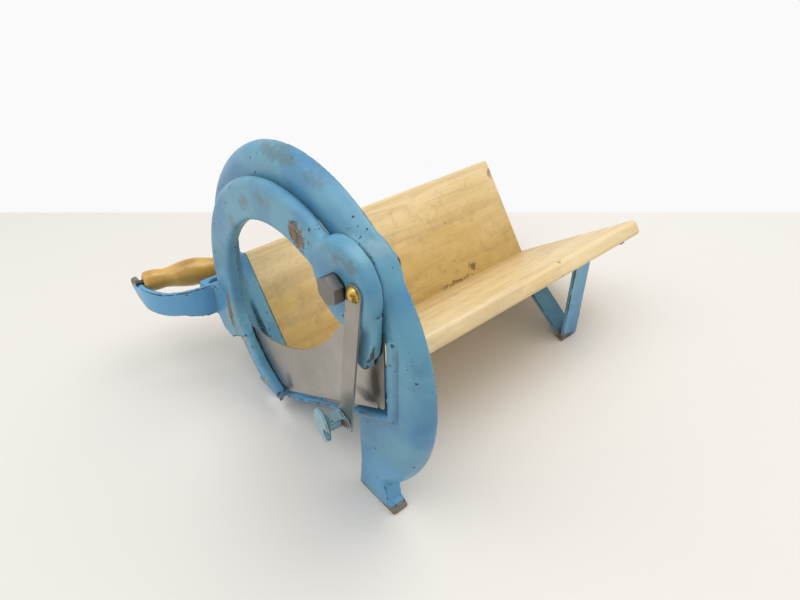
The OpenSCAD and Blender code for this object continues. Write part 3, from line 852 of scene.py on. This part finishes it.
@dataclass
class Board:
    """One board of the trough, planed flat, with its edges eased.

    Lengths are in metres and angles in degrees. tilt is the right board's slope, which the left
    board stands square to. front and valley place the corner where the two boards meet. All
    edges sharper than EASE_OVER are eased, and the free long ones are rounded first.
    """

    node: str
    width: float
    tilt: float
    finish: Beech
    left: bool
    length: float = 0.303
    thick: float = 0.014
    front: float = 0.018
    valley: Point = (-0.132, 0.0, 0.017)
    level: float = 0.0015
    ease: float = 0.0011
    round_edge: float = 0.0038

    NEAR = 0.001
    ALONG = 0.01
    EASE_OVER = 50
    EASE_STEPS = 2
    ROUND_STEPS = 5
    SHARP_OVER = 35

    def build(self) -> None:
        """Models the board flat in its own plane, mitres it, eases it and turns it into place."""
        board = self._blank()
        self._mitre(board)
        self._round_free_edges(board)
        apply_modifier(board, "BEVEL", width=self.ease, segments=self.EASE_STEPS,
                       limit_method="ANGLE", angle_limit=math.radians(self.EASE_OVER))
        self._place(board)
        settle(board, self.node + "_planed", self.SHARP_OVER)
        dress(board, self.finish.build())
        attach(board, "frame")
        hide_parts(self.node)
        LOG.info("%s: %d faces", board.name, len(board.data.polygons))

    def _outer(self) -> float:
        """How far the board's outer face is from its inner one, and on which side."""
        return self.thick if self.left else -self.thick

    def _blank(self) -> bpy.types.Object:
        """The board as a plain block, whose inner face is at Z 0."""
        pick_none()
        bpy.ops.mesh.primitive_cube_add(size=1, location=(self.width / 2, self.length / 2,
                                                          self._outer() / 2))
        board = bpy.context.object
        board.scale = (self.width, self.length, self.thick)
        bpy.ops.object.transform_apply(location=True, rotation=True, scale=True)
        return board

    def _mitre(self, board: bpy.types.Object) -> None:
        """Draws the outer face on at the valley, so that the two boards meet on a slant."""
        clear_picks(board, Pick.VERT)
        for vertex in board.data.vertices:
            vertex.select = (vertex.co.x < self.NEAR
                             and abs(vertex.co.z - self._outer()) < self.NEAR)
        with editing(board):
            bpy.ops.transform.translate(value=(-self.thick, 0, 0))

    def _round_free_edges(self, board: bpy.types.Object) -> None:
        """Rounds the board's two free long edges."""
        clear_picks(board, Pick.EDGE)
        corners = board.data.vertices
        for edge in board.data.edges:
            a, b = (corners[i].co for i in edge.vertices)
            edge.select = (min(a.x, b.x) > self.width - self.NEAR
                           and abs(a.y - b.y) > self.ALONG)
        with editing(board, Pick.EDGE):
            bpy.ops.mesh.bevel(offset=self.round_edge, segments=self.ROUND_STEPS,
                               affect="EDGES")

    def _place(self, board: bpy.types.Object) -> None:
        """Turns the board to its slope and cuts it level where it would reach the table."""
        turn = math.radians(90 + self.tilt if self.left else self.tilt)
        corner = Vector((self.valley[0], self.front, self.valley[2]))
        board.data.transform(Matrix.Translation(corner) @ Matrix.Rotation(-turn, 4, "Y"))
        with editing(board):
            bpy.ops.mesh.select_all(action="SELECT")
            bpy.ops.mesh.bisect(plane_co=(0, 0, self.level), plane_no=(0, 0, 1),
                                clear_inner=True, use_fill=True)
            face_outwards()


@dataclass
class TurnedGrip:
    """The turned wooden grip on the handle's rod.

    centre is a point on its axis, and back is how far from it the grip starts. yaw and pitch
    turn it, in degrees. most and ends are its radii at the belly and at the ends, and neck is
    the share of its length that each neck takes.
    """

    finish: AmberVarnish
    centre: Point = (-0.24, -0.0133, 0.0775)
    yaw: float = 8
    pitch: float = 5.5
    back: float = 0.0405
    length: float = 0.0865
    most: float = 0.0125
    ends: float = 0.0085
    bore: float = 0.00255
    rings: int = 56
    neck: float = 0.2

    SIDES = 64
    END_CHAMFER = 0.002
    NECK_SWELL = 0.0009
    FULLNESS = 1.6
    WELD = 0.000001
    SHARP_OVER = 50

    def radius(self, u: float) -> float:
        """The grip's radius at a share u of its length, from the back."""
        v = min(u, 1 - u)
        if v < self.neck:
            return self.ends + self.NECK_SWELL * math.sin(math.pi * v / self.neck)
        swell = math.sin(math.pi * (u - self.neck) / (1 - 2 * self.neck))
        return self.ends + (self.most - self.ends) * max(swell, 0) ** self.FULLNESS

    def outline(self) -> list[Pair]:
        """The radius and the level of each ring, from the back to the front."""
        end = self.ends - self.END_CHAMFER
        rings = [(self.radius(i / self.rings), self.length * i / self.rings)
                 for i in range(1, self.rings)]
        return [(end, 0.0), *rings, (end, self.length), (self.bore, self.length)]

    def build(self) -> None:
        """Draws the grip ring by ring along its axis and turns it into place."""
        pick_none()
        bpy.ops.mesh.primitive_circle_add(vertices=self.SIDES, radius=self.bore,
                                          fill_type="NOTHING")
        grip = bpy.context.object
        with editing(grip, Pick.EDGE):
            bpy.ops.mesh.select_all(action="SELECT")
            size, height = self.bore, 0.0
            for radius, level in self.outline():
                bpy.ops.mesh.extrude_region_move(
                    TRANSFORM_OT_translate={"value": (0, 0, level - height)})
                bpy.ops.transform.resize(value=(radius / size, radius / size, 1))
                size, height = radius, level
            bpy.ops.mesh.select_all(action="SELECT")
            bpy.ops.mesh.remove_doubles(threshold=self.WELD)
        self._close_bore(grip)
        grip.data.transform(Matrix.Translation(Vector(self.centre))
                            @ Matrix.Rotation(math.radians(-self.yaw), 4, "Z")
                            @ Matrix.Rotation(math.radians(90 - self.pitch), 4, "X")
                            @ Matrix.Translation(Vector((0, 0, -self.back))))
        settle(grip, "grip_turned", self.SHARP_OVER)
        dress(grip, self.finish.build())
        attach(grip, "arm")
        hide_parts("grip")
        LOG.info("%s: %d faces", grip.name, len(grip.data.polygons))

    def _close_bore(self, grip: bpy.types.Object) -> None:
        """Bridges the two open rings of the bore, and points the faces outwards."""
        clear_picks(grip, Pick.EDGE)
        with editing(grip, Pick.EDGE):
            bpy.ops.mesh.select_non_manifold()
            bpy.ops.mesh.bridge_edge_loops()
            face_outwards()


# ------------------------------------------------------------------ the room


@dataclass(frozen=True)
class Lamp:
    """One square lamp that faces the slicer: its side in metres and its power in watts."""

    name: str
    place: Point
    size: float
    power: float
    tint: Colour

    AIM = (-0.1, 0.1, 0.08)

    def build(self) -> None:
        """Hangs the lamp."""
        data = bpy.data.lights.new(self.name, "AREA")
        data.size, data.energy, data.color = self.size, self.power, self.tint
        lamp = bpy.data.objects.new(self.name, data)
        bpy.context.scene.collection.objects.link(lamp)
        lamp.location = self.place
        aim = Vector(self.AIM) - Vector(self.place)
        lamp.rotation_euler = aim.to_track_quat("-Z", "Y").to_euler()


@dataclass
class Room:
    """The table top, the plain light and the camera.

    edge_point and edge_along give the line in plan where the table goes over into the wall.
    camera_turn is in degrees, and lens and SENSOR are in millimetres.
    """

    table: Colour = srgb(234, 229, 222)
    table_dim: Colour = srgb(226, 221, 214)
    wall: Colour = (0.955, 0.955, 0.96)
    sky: Colour = (0.94, 0.97, 1.0)
    sky_strength: float = 0.66
    edge_point: Pair = (-0.316, 0.295)
    edge_along: Pair = (0.648, 0.762)
    camera_at: Point = (0.248, -0.184355, 0.395)
    camera_turn: Point = (54.04, 0.0, 49.6)
    lens: float = 28.53
    lamps: tuple[Lamp, ...] = (
        Lamp("window", (0.05, 0.6, 1.35), size=1.0, power=8.0, tint=(1.0, 0.99, 0.97)),
        Lamp("fill", (-0.7, -0.9, 0.45), size=0.8, power=1.2, tint=(1.0, 1.0, 1.0)),
        Lamp("ceiling", (-0.3, -0.5, 1.35), size=1.2, power=6.6, tint=(1.0, 0.99, 0.98)))

    TABLE_SIDE = 12
    TABLE_EDGE = (-0.002, 0.002)
    TABLE_SHADE = (-0.9, 0.7)
    CLOUD = (6, 3, 0.5)
    CLOUD_STRENGTH = 0.25
    TABLE_ROUGH = 0.6
    TABLE_SHINE = 0.2
    SHARP_OVER = 40
    SENSOR = 36
    CLIP_START = 0.01

    def build(self) -> None:
        """Makes the whole room."""
        self._table()
        self._sky()
        for lamp in self.lamps:
            lamp.build()
        self._camera()

    def _table(self) -> None:
        """A wide top whose far side goes over into the white wall behind it."""
        pick_none()
        bpy.ops.mesh.primitive_plane_add(size=self.TABLE_SIDE, location=(0, 0, 0))
        top = settle(bpy.context.object, "table_top", self.SHARP_OVER)
        s = Shader("table_laminate")
        (edge_x, edge_y), (along_x, along_y) = self.edge_point, self.edge_along
        across = (s.part(0) - edge_x) * -along_y + (s.part(1) - edge_y) * along_x
        beyond = across.step(*self.TABLE_EDGE)
        # Painted shade: the table is painted dimmer towards the front left, to stand in for light
        # falling off there.
        side = (s.part(0) * along_x + s.part(1) * along_y).step(*self.TABLE_SHADE)
        colour = s.blend(side, self.table_dim, self.table)
        colour = s.blend(s.noise(*self.CLOUD) * self.CLOUD_STRENGTH, colour, self.table_dim)
        s.finish(Base_Color=colour, Roughness=self.TABLE_ROUGH,
                 Specular_IOR_Level=self.TABLE_SHINE)
        glow = s.node("ShaderNodeEmission", {}, {"Color": self.wall, "Strength": 1.0})
        mixed = s.node("ShaderNodeMixShader", {}, {0: beyond, 1: s.surface.outputs[0],
                                                   2: glow.outputs[0]})
        s.feed(s.tree.nodes["Material Output"].inputs["Surface"], mixed.outputs[0])
        dress(top, s.material)

    def _sky(self) -> None:
        """An even pale light from all sides, which the camera sees as the wall's white."""
        world = bpy.data.worlds.new("studio")
        bpy.context.scene.world = world
        world.use_nodes = True
        tree = world.node_tree
        back = tree.nodes["Background"]
        back.inputs["Color"].default_value = (*self.sky, 1)
        back.inputs["Strength"].default_value = self.sky_strength
        seen = tree.nodes.new("ShaderNodeBackground")
        seen.inputs["Color"].default_value = (*self.wall, 1)
        path = tree.nodes.new("ShaderNodeLightPath")
        mix = tree.nodes.new("ShaderNodeMixShader")
        tree.links.new(path.outputs["Is Camera Ray"], mix.inputs[0])
        tree.links.new(back.outputs[0], mix.inputs[1])
        tree.links.new(seen.outputs[0], mix.inputs[2])
        tree.links.new(mix.outputs[0], tree.nodes["World Output"].inputs["Surface"])

    def _camera(self) -> None:
        """The camera, and the plain view transform."""
        data = bpy.data.cameras.new("camera")
        data.lens, data.sensor_width = self.lens, self.SENSOR
        data.clip_start = self.CLIP_START
        camera = bpy.data.objects.new("camera", data)
        bpy.context.scene.collection.objects.link(camera)
        camera.location = self.camera_at
        camera.rotation_euler = tuple(math.radians(a) for a in self.camera_turn)
        bpy.context.scene.camera = camera
        bpy.context.scene.view_settings.view_transform = "Standard"


# ------------------------------------------------------------------ the slicer


@dataclass
class Slicer:
    """All the pieces of the bread slicer, dressed in their finishes.

    tilt is the slope in degrees of the right board.
    """

    tilt: float = 36.5

    def frame_iron(self) -> PaintedIron:
        """The enamel of the ring frame, worn along its top and at its feet."""
        worn = (Mark((0.032, -0.005, 0.003), (0.012, 0.03, 0.003), 0.9),
                Mark((-0.004, -0.006, 0.001), (0.03, 0.03, 0.0025), 0.8),
                Mark((-0.066, -0.004, 0.2425), (0.004, 0.004, 0.003), 0.9),
                Mark((0.007, -0.004, 0.226), (0.004, 0.004, 0.005), 0.9),
                Mark((0.0465, 0.006, 0.1), (0.002, 0.004, 0.012), 0.7))
        grubby = (Mark((-0.085, -0.006, 0.239), (0.035, 0.02, 0.006), 0.7),
                  Mark((-0.04, -0.006, 0.238), (0.02, 0.02, 0.005), 0.6),
                  Mark((0.012, -0.006, 0.213), (0.012, 0.02, 0.01), 0.4),
                  Mark((0.0, -0.006, 0.092), (0.02, 0.02, 0.006), 0.5))
        # Painted light: the enamel on the foot is painted brighter.
        foot = Mark((0.033, -0.01, 0.02), (0.03, 0.04, 0.035), 0.6)
        return PaintedIron("frame_enamel", patches=worn, grubby=grubby, lit_places=(foot,),
                           wear=0.6)

    def arm_iron(self) -> PaintedIron:
        """The enamel of the arm, worn through on its ring and by its rivets."""
        worn = (Mark((-0.0436, -0.018, 0.203), (0.009, 0.006, 0.010), 1.0),
                Mark((-0.1665, -0.018, 0.076), (0.0035, 0.008, 0.017), 0.95),
                Mark((-0.15, -0.018, 0.1), (0.004, 0.006, 0.01), 0.6),
                Mark((0.013, -0.03, 0.135), (0.012, 0.01, 0.004), 0.8),
                Mark((-0.259, -0.06, 0.08), (0.008, 0.008, 0.006), 0.9))
        grubby = (Mark((-0.132, -0.018, 0.1727), (0.006, 0.01, 0.01), 0.65),
                  Mark((-0.081, -0.018, 0.2125), (0.01, 0.01, 0.005), 0.6),
                  Mark((-0.108, -0.018, 0.2), (0.008, 0.01, 0.006), 0.6),
                  Mark((0.008, -0.02, 0.209), (0.012, 0.01, 0.005), 0.7),
                  Mark((0.009, -0.02, 0.148), (0.006, 0.012, 0.02), 0.8),
                  Mark((-0.16, -0.018, 0.07), (0.012, 0.01, 0.03), 0.5))
        # Painted light: the enamel on the guard is painted brighter.
        guard = Mark((-0.22, -0.05, 0.08), (0.055, 0.05, 0.03), 0.75)
        return PaintedIron("arm_enamel", patches=worn, grubby=grubby, lit_places=(guard,),
                           wear=1.3)

    def castings(self) -> None:
        """The painted iron pieces."""
        round_boss = (SoftZone((-0.026, -0.019, 0.208), radius=0.016, passes=60),
                      SoftZone((-0.021, -0.019, 0.171), radius=0.016, passes=60),
                      SoftZone((-0.027, -0.019, 0.190), radius=0.014, passes=50),
                      SoftZone((0.026, -0.019, 0.167), radius=0.014, passes=60),
                      SoftZone((0.012, -0.019, 0.165), radius=0.013, passes=50))
        heel = Mark((-0.005, 0.245, 0.003), (0.02, 0.02, 0.006), 0.9)
        # Painted light: the strap foot's enamel is painted a brighter blue than the frame's.
        strap = PaintedIron("painted_lit_foot_enamel", patches=(heel,), wear=1.4,
                            blue=srgb(84, 152, 192), blue_pale=srgb(110, 172, 198))
        knob = PaintedIron("knob_enamel", wear=1.8, blue=srgb(126, 164, 176),
                           blue_dark=srgb(108, 148, 166), blue_pale=srgb(146, 180, 188))
        for casting in (
                SoftCasting("frame_casting", "frame", self.frame_iron(), grain=0.00105,
                            passes=8),
                SoftCasting("arm_casting", "arm", self.arm_iron(), grain=0.001, passes=6,
                            zones=round_boss),
                SoftCasting("strap_foot", "frame", strap, grain=0.0007, passes=4),
                SoftCasting("stop_knob", "stop", knob, grain=0.00035, passes=4)):
            casting.build()

    def woodwork(self) -> None:
        """The two boards and the grip."""
        stains = (Mark((-0.1375, 0.247, 0.0245), (0.007, 0.0065, 0.007), 0.8),
                  Mark((-0.1335, 0.22, 0.0185), (0.003, 0.03, 0.003), 0.8),
                  Mark((-0.175, 0.033, 0.074), (0.012, 0.02, 0.016), 0.14),
                  Mark((-0.189, 0.318, 0.094), (0.006, 0.004, 0.008), 0.6))
        right = Beech("beech_right", tilt=math.radians(self.tilt), fade=(-0.02, 0.09))
        left = Beech("beech_left", tilt=math.radians(90 + self.tilt), fade=(0.035, 0.1),
                     stains=stains)
        Board("right_board", width=0.155, tilt=self.tilt, finish=right, left=False).build()
        Board("left_board", width=0.110, tilt=self.tilt, finish=left, left=True).build()
        TurnedGrip(AmberVarnish("amber_varnish")).build()

    def metalwork(self) -> None:
        """Finishes for the plain steel and brass pieces."""
        # Painted reflection and painted shadow on the blade, where it shows the dark parts beside
        # it and lies in shade.
        dark_reflections_and_shade = (Mark((0.018, -0.0114, 0.122), (0.005, 0.01, 0.018), 0.7),
                   Mark((0.008, -0.0114, 0.103), (0.016, 0.01, 0.007), 0.7),
                   Mark((-0.095, -0.0114, 0.042), (0.006, 0.01, 0.011), 0.6))
        blade = Steel("blade_steel", srgb(188, 183, 175), srgb(162, 157, 149),
                      Scratches.ALONG_EDGE, roughness=0.27, spotting=0.35, dark_reflections_and_shade=dark_reflections_and_shade)
        strip = Steel("strip_steel", srgb(176, 171, 163), srgb(156, 150, 142),
                      Scratches.UPRIGHT, roughness=0.36, spotting=0.25)
        dark = Steel("dark_steel", srgb(92, 88, 84), srgb(56, 53, 51), roughness=0.42,
                     spotting=0.35)
        bolt = Steel("bolt_steel", srgb(140, 136, 133), srgb(100, 97, 94), roughness=0.42)
        screws = Steel("screw_steel", srgb(104, 98, 92), srgb(70, 64, 58), roughness=0.45)
        rivet = Steel("brown_rivet", srgb(120, 92, 66), srgb(84, 60, 42), roughness=0.5,
                      metal=0.6)
        brass = Brass("brass")
        for nodes, finish in (
                (("blade",), blade),
                (("stop_strip",), strip),
                (("pivot_bolt",), bolt),
                (("pivot_nut", "head_washer", "back_washer", "spacer_washer", "grip_rod"), dark),
                (("left_screws", "right_screws", "strap_screws", "end_screw", "joint_nails"),
                 screws),
                (("stop_rivet", "finger_rivet"), rivet),
                (("stop_screw", "blade_rivets"), brass)):
            material = finish.build()
            for node in nodes:
                dress(frame["nodes"][node], material)
                LOG.info("%s: %s", node, material.name)


def main() -> None:
    """Builds the slicer and its room."""
    logging.basicConfig(level=logging.INFO, format="%(message)s")
    slicer = Slicer()
    slicer.castings()
    slicer.woodwork()
    slicer.metalwork()
    Room().build()


if __name__ == "__main__":
    main()
